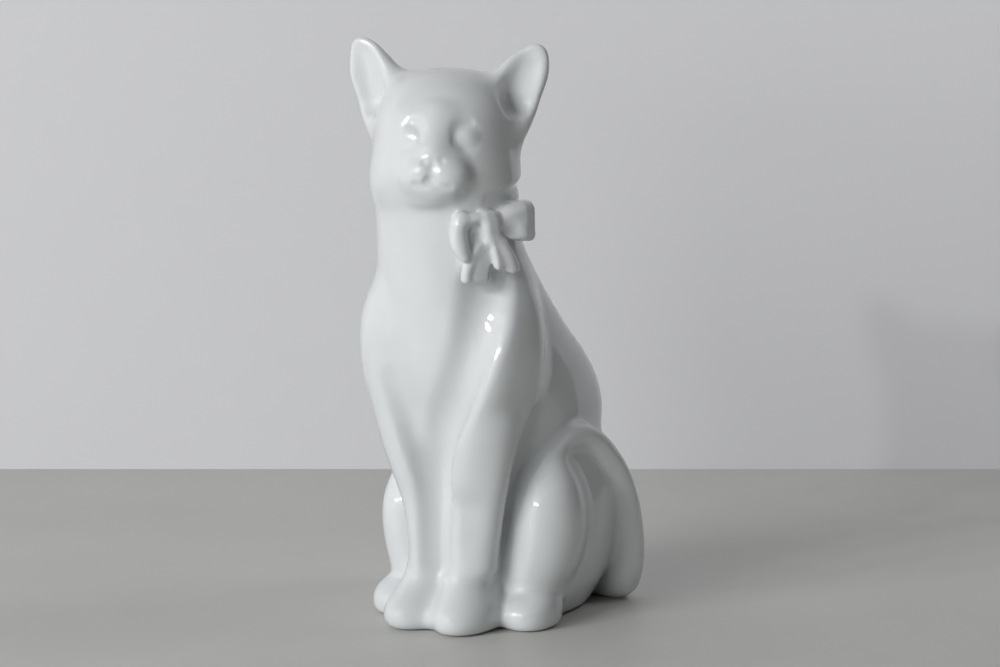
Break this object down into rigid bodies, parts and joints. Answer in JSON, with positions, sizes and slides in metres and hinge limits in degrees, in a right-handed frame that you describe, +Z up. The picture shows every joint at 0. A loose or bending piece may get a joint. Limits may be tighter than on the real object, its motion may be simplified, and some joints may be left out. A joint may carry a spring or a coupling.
{
  "type": "seated cat figurine",
  "caption": "Glossy white porcelain figurine of an upright seated cat with a turned head, a bow on its neck and a curled tail; an ornament that stands on a flat surface.",
  "frame": {"origin": "centre of the footprint's outline, on the surface that the figurine stands on", "axes": "+Z up, the cat faces -Y and its left side is +X"},
  "size_m": [0.1003, 0.1345, 0.25],
  "materials": {
    "glaze_body": "clear high-gloss glaze over white porcelain",
    "glaze_bow": "clear high-gloss glaze over white porcelain",
    "bisque": "unglazed fired porcelain, matt"
  },
  "bodies": {
    "root": {"torso_shell": "glaze_body", "head_shell": "glaze_body", "ear_left": "glaze_body", "ear_right": "glaze_body", "foreleg_left": "glaze_body", "foreleg_right": "glaze_body", "haunch_left": "glaze_body", "haunch_right": "glaze_body", "hind_foot_left": "glaze_body", "hind_foot_right": "glaze_body", "tail": "glaze_body", "bow_knot": "glaze_bow", "bow_loop_front": "glaze_bow", "bow_loop_rear": "glaze_bow", "bow_streamer_front": "glaze_bow", "bow_streamer_rear": "glaze_bow", "base_plate": "bisque"}
  },
  "joints": []
}
